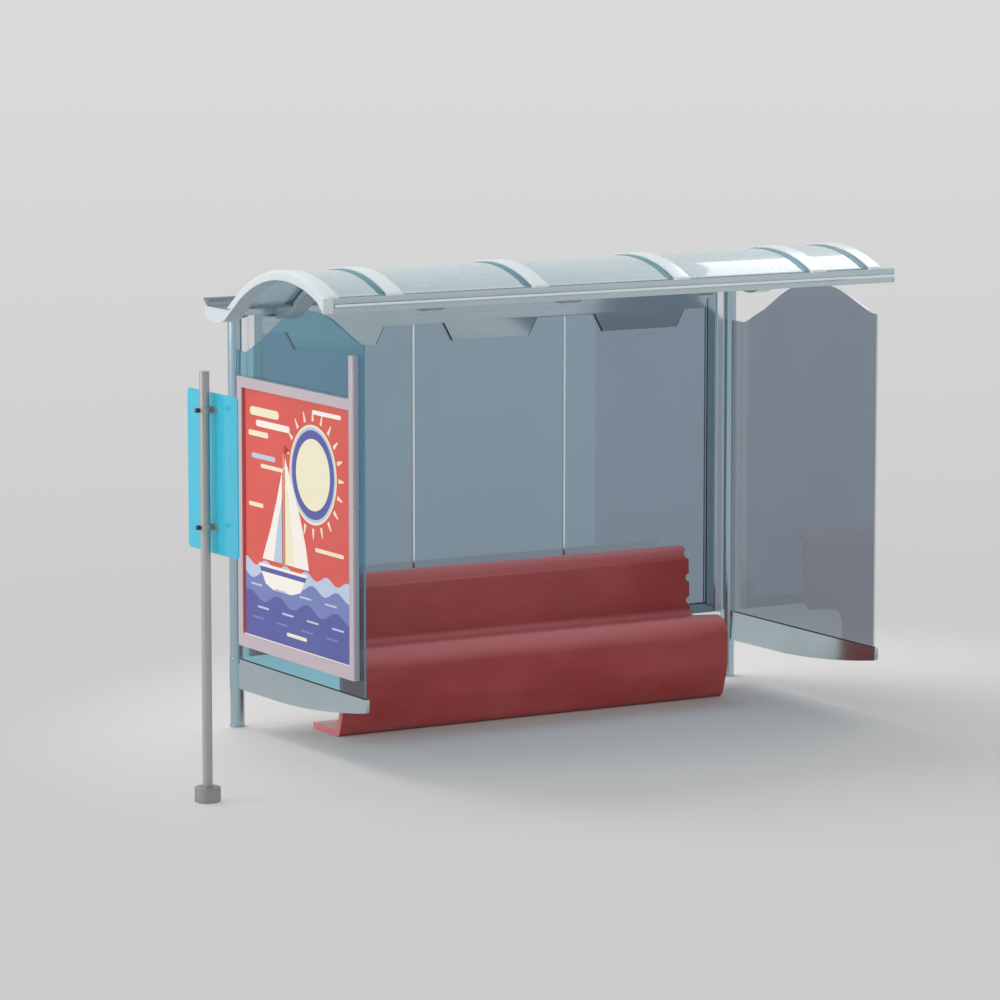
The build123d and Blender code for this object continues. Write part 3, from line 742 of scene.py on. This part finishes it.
fasteners("beam_bolts", [((x + dx, 46, 2586), REAR) for x in RIB_XS[1:5] for dx in (-32, 32)],
          finish["sign_metal"], 8, 6)
fasteners("head_bolts",
          [((side * POST_X + 57 * math.cos(a), 57 * math.sin(a), 2543), DOWN)
           for side in (-1, 1) for a in (0.8, 2.37, 3.94, 5.51)],
          finish["sign_metal"], 6, 5, washer=9)
frame_rows = [((x, 25, z), REAR) for z in FRAME_BAR_HEIGHTS for x in range(-1500, 1501, 375)]
frame_rows += [((x, 25, z), REAR) for x in (-FRAME_BAR_X, FRAME_BAR_X)
               for z in range(640, 2401, 352)]
fasteners("frame_screws", frame_rows, finish["frame_paint"], 5, 2.5, 14, 6)
fasteners("fascia_screws",
          [((x + dx, -1457, 2712), (0, 0.40, -0.916)) for x in RIB_XS[1:5] for dx in (-30, 30)],
          finish["roof_paint"], 5.5, 3, 14, 7.5)
fasteners("sleeve_screws",
          [((side * POST_X, -47.5, z), FRONT) for side in (-1, 1) for z in (272, 392)],
          finish["post_paint"], 5, 2.5, 14, 6)
fasteners("bench_anchors", [((x, -372, 40), UP) for x in range(-1290, 1291, 430)],
          finish["sign_metal"], 9, 8, washer=17)
fasteners("case_fixings",
          [((-1801.5, y, z), INWARD) for y in (-1594, -159) for z in (600, 1370, 2130)],
          finish["case_frame"], 19, 5, 28, 24)
fasteners("clamp_bolts", [((-3060, -1989, z), (-1, 0, 0)) for z in CLAMP_HEIGHTS],
          finish["sign_metal"], 7, 6)

# %% [markdown]
# ## Seals and gaskets
#
# Glass never touches metal. A rubber cord lies between them along every edge: round the rear
# opening on both faces and along both rails at the foot of the screens. The dark cords on the
# slanted sides of the header's tabs are painted shade: a thick one on each tab's left side and a
# thin one on its right stand in for the tabs' shaded edges. The roof sheets rest on blue plastic
# seals beside the ribs. Painted beads have the same round section: one inside the rear opening,
# one over each sheet's front end, and the white one in the fascia's groove. A second Geometry
# Nodes tree makes all of them, by running a circle along guide lines.

# %% Node tree: cords along lines
cord_tree, gin, gout = new_geometry_tree("cords_along_lines", {
    "Radius": ("Float", 0.003), "Sides": ("Int", 8), "Material": ("Material", None)})
lines = add(cord_tree, "GeometryNodeMeshToCurve")
section = add(cord_tree, "GeometryNodeCurvePrimitiveCircle")
swept = add(cord_tree, "GeometryNodeCurveToMesh", in_Fill_Caps=True)
real = add(cord_tree, "GeometryNodeRealizeInstances")
coloured = add(cord_tree, "GeometryNodeSetMaterial")
join(cord_tree,
     (gin.outputs["Geometry"], lines.inputs["Mesh"]),
     (gin.outputs["Sides"], section.inputs["Resolution"]),
     (gin.outputs["Radius"], section.inputs["Radius"]),
     (lines.outputs[0], swept.inputs["Curve"]),
     (section.outputs[0], swept.inputs["Profile Curve"]),
     (swept.outputs[0], real.inputs[0]),
     (real.outputs[0], coloured.inputs["Geometry"]),
     (gin.outputs["Material"], coloured.inputs["Material"]),
     (coloured.outputs[0], gout.inputs["Geometry"]))
print("tree", cord_tree.name, len(cord_tree.nodes), "nodes")

# %% Cords
def cords(name, paths, material, radius, closed=False, sides=8):
    """Run a round cord along each path of points."""
    points = []
    edges = []
    for path in paths:
        first = len(points)
        points += [at(*p) for p in path]
        edges += [(i, i + 1) for i in range(first, len(points) - 1)]
        if closed:
            edges.append((len(points) - 1, first))
    mesh = bpy.data.meshes.new(name + "_lines")
    mesh.from_pydata(points, edges, [])
    grow(name, mesh, cord_tree, {
        "Radius": radius / 1000, "Sides": sides, "Material": material})


def opening(y, low, high, x=1619):
    """A rectangle just inside the rear frame's opening."""
    return [(-x, y, low), (x, y, low), (x, y, high), (-x, y, high)]


ARCH_Y, ARCH_Z, SHEET_UNDER = -990, 1788, 1105
SHEET_END_Z = 2636
RAIL_TOP = 434


def under_sheet(x, radius=SHEET_UNDER - 4, start=-23):
    """The line under a roof sheet's side, over the arch and down the flank."""
    path = []
    for degrees in range(start, 36, 2):
        a = math.radians(degrees)
        path.append((x, ARCH_Y + radius * math.sin(a), ARCH_Z + radius * math.cos(a)))
    a = math.radians(35)
    run = (path[-1][2] - SHEET_END_Z) / math.sin(a)
    path.append((x, path[-1][1] + run * math.cos(a), path[-1][2] - run * math.sin(a)))
    return path


cords("rear_gaskets", [opening(-2.5, 499, 2445), opening(10.5, 499, 2492)],
      rubber_and_painted_shade, 4.2, closed=True)
cords("glazing_beads", [[(-1615, -11, 2432), *opening(-11, 503, 2432, 1615)[:3]]],
      finish["frame_paint"], 6, sides=12)
cords("rail_gaskets",
      [[(side * 1807.5 + dx, -1675, RAIL_TOP), (side * 1807.5 + dx, -82, RAIL_TOP)]
       for side in (-1, 1) for dx in (-8.5, 8.5)],
      rubber_and_painted_shade, 2.6)
cords("sheet_seals",
      [under_sheet(x + 59) for x in RIB_XS[:-1]] + [under_sheet(x - 59) for x in RIB_XS[1:]],
      blue_edge, 3)
cords("sheet_front_beads",
      [[(RIB_XS[i] + 55, -1468, 2791), (RIB_XS[i + 1] - 101, -1468, 2791)] for i in range(5)],
      rib_white, 5.5, sides=12)
cords("fascia_bead", [[(-1908, -1504, 2739.5), (2044, -1504, 2739.5)]],
      finish["white_strip"], 10.5, sides=20)
# Painted shade: dark cords on the tabs' slanted sides stand in for their shaded edges, thick on the
# left and thin on the right.
for name, side, radius in (("tab_shade_left", -1, 5.5), ("tab_shade_right", 1, 1.4)):
    cords(name, [[(x + side * 340, -12.5, 2433), (x + side * 280, -12.5, 2322)]
                 for x in (-1104, 0, 1104)], rubber_and_painted_shade, radius)

# %% [markdown]
# A flat blue-green strip runs beside each rib, along the sheet's side, from the fascia to the
# gutter. Its colour is painted shade: against the white rib it stands in for the rib's shaded side
# seen through the sheet. The strip follows the same arch and flank as the sheet, so it is made from
# two of the lines that the seals use, one just above the other, and is forty-five millimetres wide.

# %% Painted shade strips beside the ribs
shape = bmesh.new()
for x in RIB_XS[1:]:
    rim = under_sheet(x - 55.3, SHEET_UNDER + 8, -25)
    rim += under_sheet(x - 55.3, SHEET_UNDER + 6.3, -25)[::-1]
    near = [shape.verts.new(at(*p)) for p in rim]
    off = [shape.verts.new(at(p[0] - 45, p[1], p[2])) for p in rim]
    shape.faces.new(near)
    shape.faces.new(off[::-1])
    for k in range(len(rim)):
        shape.faces.new((near[k - 1], near[k], off[k], off[k - 1]))
bmesh.ops.recalc_face_normals(shape, faces=shape.faces)
strip_mesh = bpy.data.meshes.new("rib_shade_strips")
shape.to_mesh(strip_mesh)
shape.free()
smooth_by_angle(strip_mesh)
strip_mesh.materials.append(painted_rib_shade)
rib_shade_strips = bpy.data.objects.new("rib_shade_strips", strip_mesh)
bpy.context.scene.collection.objects.link(rib_shade_strips)
mount(rib_shade_strips)
print("cover strips", len(strip_mesh.polygons), "faces")

# %% [markdown]
# ## Edges of the screens
#
# The screens' cut edges are ground and polished and then protected by a thin profile. They are
# what draws the bell shape against the background: pale on the grey screen, blue on the blue
# one. The strip is a flat band that follows the outline read from the glass itself, a fraction
# of a millimetre off its edge.

# %% Edge strips
def edge_strip(name, glass_name, material):
    """A thin band round the upper edges of a side screen."""
    glass = frame["nodes"][glass_name]
    spots = [glass.matrix_world @ v.co for v in glass.data.vertices]
    x_low, x_high = min(p.x for p in spots), max(p.x for p in spots)
    crest = sorted({(round(p.y, 4), round(p.z, 4)) for p in spots if p.z > 2.2}, reverse=True)
    foot = 0.437
    outline = [(crest[0][0], foot)] + crest + [(crest[-1][0], foot)]
    ways = []
    for i in range(len(outline)):
        before = Vector(outline[max(i - 1, 0)])
        after = Vector(outline[min(i + 1, len(outline) - 1)])
        run = (after - before).normalized()
        ways.append(Vector((run.y, -run.x)))
    points = []
    for spot, way in zip(outline, ways):
        near = Vector(spot) + way * 0.0002
        off = Vector(spot) + way * 0.0012
        points += [(x_low, near.x, near.y), (x_high, near.x, near.y),
                   (x_high, off.x, off.y), (x_low, off.x, off.y)]
    faces = [(0, 1, 2, 3), tuple(len(points) - k for k in (1, 2, 3, 4))]
    for i in range(len(outline) - 1):
        base = 4 * i
        faces += [(base + k, base + 4 + k, base + 4 + (k + 1) % 4, base + (k + 1) % 4)
                  for k in range(4)]
    mesh = bpy.data.meshes.new(name)
    mesh.from_pydata(points, [], faces)
    mesh.materials.append(material)
    shape = bmesh.new()
    shape.from_mesh(mesh)
    bmesh.ops.recalc_face_normals(shape, faces=shape.faces)
    shape.to_mesh(mesh)
    shape.free()
    smooth_by_angle(mesh)
    piece = bpy.data.objects.new(name, mesh)
    bpy.context.scene.collection.objects.link(piece)
    mount(piece)
    print(name, len(outline), "outline points")


edge_strip("screen_edge_right", "side_glass_right", pale_edge)
edge_strip("screen_edge_left", "side_glass_left", blue_edge)

# %% [markdown]
# ## The sign's clamps and cap
#
# Each ring is drawn tight by a block behind the pole with one bolt through it, and a plug closes
# the top of the tube against the rain. Both are turned or cast parts with soft corners, made
# here from a block or a disc whose edges are rounded.

# %% Clamp blocks and pole cap
def soft_solid(name, low, high, width, slot, round_plan=False):
    """A block, or a disc in the same box, with rounded edges."""
    shape = bmesh.new()
    low, high = at(*low), at(*high)
    size = high - low
    if round_plan:
        bmesh.ops.create_cone(shape, cap_ends=True, segments=40, radius1=0.5, radius2=0.5, depth=1)
    else:
        bmesh.ops.create_cube(shape, size=1.0)
    bmesh.ops.scale(shape, vec=size, verts=shape.verts)
    bmesh.ops.translate(shape, vec=(low + high) / 2, verts=shape.verts)
    edges = [e for e in shape.edges if e.calc_face_angle(0) > 0.7]
    bmesh.ops.bevel(shape, geom=edges, offset=width / 1000, segments=3, profile=0.5,
                    affect="EDGES")
    mesh = bpy.data.meshes.new(name)
    shape.to_mesh(mesh)
    shape.free()
    smooth_by_angle(mesh)
    mesh.materials.append(finish[slot])
    piece = bpy.data.objects.new(name, mesh)
    bpy.context.scene.collection.objects.link(piece)
    mount(piece)


for word, z in zip(("lower", "upper"), CLAMP_HEIGHTS):
    soft_solid("clamp_block_" + word, (-3060, -2003, z - 12), (-3029, -1975, z + 12), 4,
               "clamp_dark")
soft_solid("pole_cap", (-3029.5, -2018.5, 2460), (-2970.5, -1959.5, 2470), 3, "sign_metal", True)
print("clamp blocks and pole cap made")

# %% [markdown]
# ## The poster
#
# The case shows a printed sheet. Its design is a plain seaside one in a travel poster's few flat
# inks: a red sky with a cream sun in a blue ring, three bands of waves, a small sailing boat and
# a few clouds. Screen printing lays one ink over another, so each shape is a thin layer of its
# own, a fifth of a millimetre above the one below. Distances run from the sheet's rear lower
# corner: u towards the front, v upwards. The colours travel with the mesh as an attribute.

# %% Shapes of the print
INKS = {
    "indigo": tone(78, 84, 158), "blue": tone(112, 124, 184), "pale": tone(186, 200, 222),
    "cream": tone(238, 230, 200), "white": tone(244, 238, 230), "tan": tone(214, 170, 122),
    "deep_red_and_painted_shadow": tone(172, 30, 28),
}
sheet_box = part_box("poster_sheet")
sheet_face = sheet_box[0].x
shapes = []


def ink(colour, layer, outline):
    """Add one flat printed shape."""
    shapes.append((colour, layer, outline))


def disc(u, v, radius):
    """Points round a circle."""
    steps = 56
    turn = 2 * math.pi / steps
    return [(u + radius * math.cos(i * turn), v + radius * math.sin(i * turn))
            for i in range(steps)]


def bar(u0, u1, v, height):
    """A level bar with round ends."""
    r = height / 2
    ends = [(u1 - r, -90, 90), (u0 + r, 90, 270)]
    return [(u + r * math.cos(math.radians(a)), v + r * math.sin(math.radians(a)))
            for u, first, last in ends for a in range(first, last + 1, 15)]


def wave(v, height, length, shift):
    """Everything below a wavy line, down to the sheet's lower border."""
    top = [(u, v + height * math.sin(2 * math.pi * (u + shift) / length))
           for u in [*range(2, 1376, 12), 1376]]
    return [(2, 2), (1376, 2)] + top[::-1]


ink("cream", 1, disc(905, 1085, 300))
ink("pale", 2, disc(905, 1085, 286))
ink("indigo", 3, disc(905, 1085, 268))
ink("cream", 4, disc(905, 1085, 216))
for i in range(20):
    a = math.radians(18 * i)
    side = Vector((-math.sin(a), math.cos(a)))
    out = Vector((math.cos(a), math.sin(a)))
    middle = Vector((905, 1085))
    ink("cream", 1, [tuple(middle + out * 322 - side * 14), tuple(middle + out * 386 - side * 5),
                     tuple(middle + out * 386 + side * 5), tuple(middle + out * 322 + side * 14)])
for u0, u1, v, height, colour in (
        (90, 470, 1392, 52, "cream"), (170, 610, 1322, 40, "white"), (70, 330, 1256, 34, "cream"),
        (110, 420, 1120, 30, "pale"), (230, 520, 1066, 24, "cream"), (900, 1260, 1462, 26, "white"),
        (70, 260, 820, 26, "cream"), (930, 1290, 640, 24, "cream")):
    ink(colour, 5, bar(u0, u1, v, height))
ink("pale", 6, wave(470, 20, 262, 40))
ink("blue", 7, wave(392, 24, 311, 120))
ink("indigo", 9, wave(262, 28, 374, 20))
ink("white", 8, [(196, 470), (830, 470), (742, 352), (628, 324), (384, 324), (286, 352)])
ink("indigo", 8.5, [(208, 452), (818, 452), (796, 422), (228, 422)])
ink("tan", 7.5, [(520, 470), (534, 470), (534, 1170), (520, 1170)])
ink("white", 8, [(546, 500), (850, 500), (812, 640), (744, 800), (660, 960), (546, 1150)])
ink("cream", 8.5, [(546, 500), (668, 500), (640, 700), (596, 900), (546, 1060)])
ink("white", 8, [(508, 500), (508, 1060), (438, 880), (352, 690), (246, 500)])
ink("pale", 8.5, [(508, 500), (508, 900), (450, 740), (396, 500)])
ink("deep_red_and_painted_shadow", 8, [(534, 1170), (610, 1196), (534, 1222)])
for v, shift in ((330, 0), (196, 90), (128, 20)):
    for k in range(4):
        u0 = 90 + 320 * k + shift
        ink("pale" if v > 150 else "blue", 10, bar(u0, u0 + 150, v, 12))
ink("cream", 10, bar(560, 820, 78, 22))
# Painted shadow: this dark red border down the sheet's rear edge stands in for the shade that the
# case's rear stile casts on the sheet.
ink("deep_red_and_painted_shadow", 11, [(1, 9), (24, 9), (24, 1521), (1, 1521)])
# Painted highlight: the thin white line along the sheet's bottom edge stands in for the lit lower
# edge of the opening.
ink("white", 11, [(1, 1), (1377, 1), (1377, 8), (1, 8)])
print("printed shapes", len(shapes))

# %% Lay the inks on the sheet
print_mesh = bpy.data.meshes.new("poster_print_layers")
points = []
faces = []
colours = []
for colour, layer, outline in shapes:
    first = len(points)
    count = len(outline)
    for depth in (0.0001, -0.00022 * (layer + 1)):
        for u, v in outline:
            spot = at(0, -190 - u, 612 + v)
            points.append((sheet_face + depth, spot.y, spot.z))
            colours += INKS[colour]
    faces.append(tuple(range(first, first + count)))
    faces.append(tuple(range(first + 2 * count - 1, first + count - 1, -1)))
    faces += [(first + k, first + (k + 1) % count, first + count + (k + 1) % count,
               first + count + k) for k in range(count)]
print_mesh.from_pydata(points, [], faces)
ink_colours = print_mesh.attributes.new("ink", "FLOAT_COLOR", "POINT")
ink_colours.data.foreach_set("color", colours)
shape = bmesh.new()
shape.from_mesh(print_mesh)
bmesh.ops.recalc_face_normals(shape, faces=shape.faces)
shape.to_mesh(print_mesh)
shape.free()
print_mesh.materials.append(ink_finish)
poster_layers = bpy.data.objects.new("poster_print_layers", print_mesh)
bpy.context.scene.collection.objects.link(poster_layers)
mount(poster_layers)
print("print", len(print_mesh.polygons), "faces")
